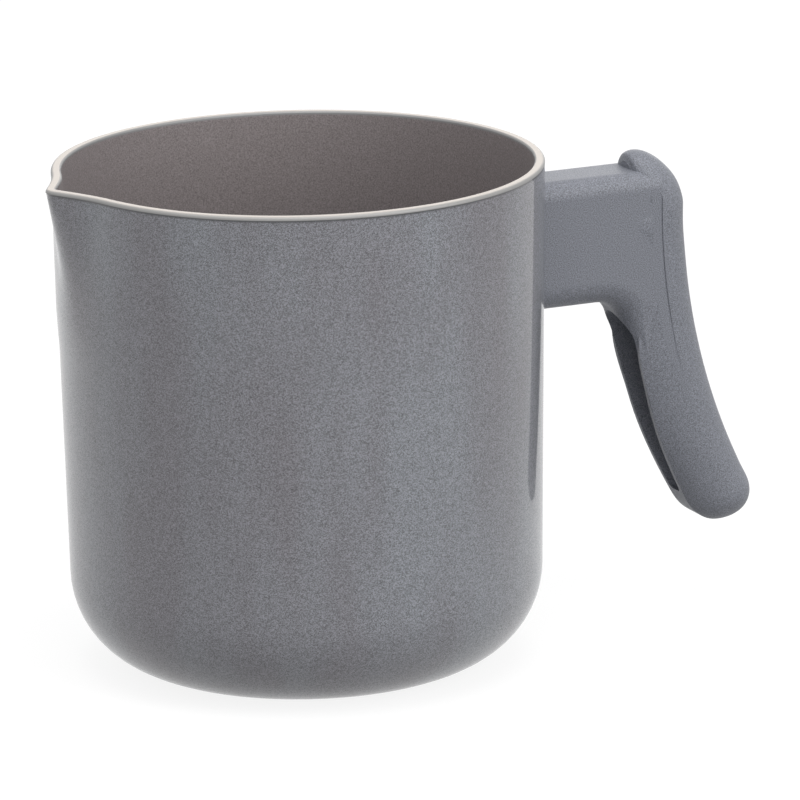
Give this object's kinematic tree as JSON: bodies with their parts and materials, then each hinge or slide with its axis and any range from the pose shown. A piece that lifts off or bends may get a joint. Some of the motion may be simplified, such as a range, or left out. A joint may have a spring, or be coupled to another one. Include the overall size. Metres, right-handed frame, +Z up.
{
  "type": "milk pan",
  "caption": "Deep round milk pan with a pouring spout, a grey metallic outside, a bare metal rim and a one-sided moulded handle that hangs down beside it.",
  "frame": {"origin": "on the axis of the round body, in the flat face that the pan stands on", "axes": "+Z up along the body's axis, +X out along the handle, so the spout points along -X; the XZ plane is the plane of symmetry"},
  "size_m": [0.2176, 0.14, 0.1458],
  "materials": {
    "pan_metal": "pressed aluminium: grey metallic enamel outside, matte brown-grey non-stick coat inside, rim turned bare and bright",
    "handle_phenolic": "satin moulded phenolic, slightly bluish grey with a fine sand-like grain",
    "stud_aluminium": "bare, as machined",
    "fixing_steel": "zinc-plated steel"
  },
  "bodies": {
    "root": {"pan_body": "pan_metal", "handle": "handle_phenolic", "wall_stud": "stud_aluminium", "handle_screw": "fixing_steel", "flat_washer": "fixing_steel", "spring_washer": "fixing_steel"}
  },
  "joints": []
}
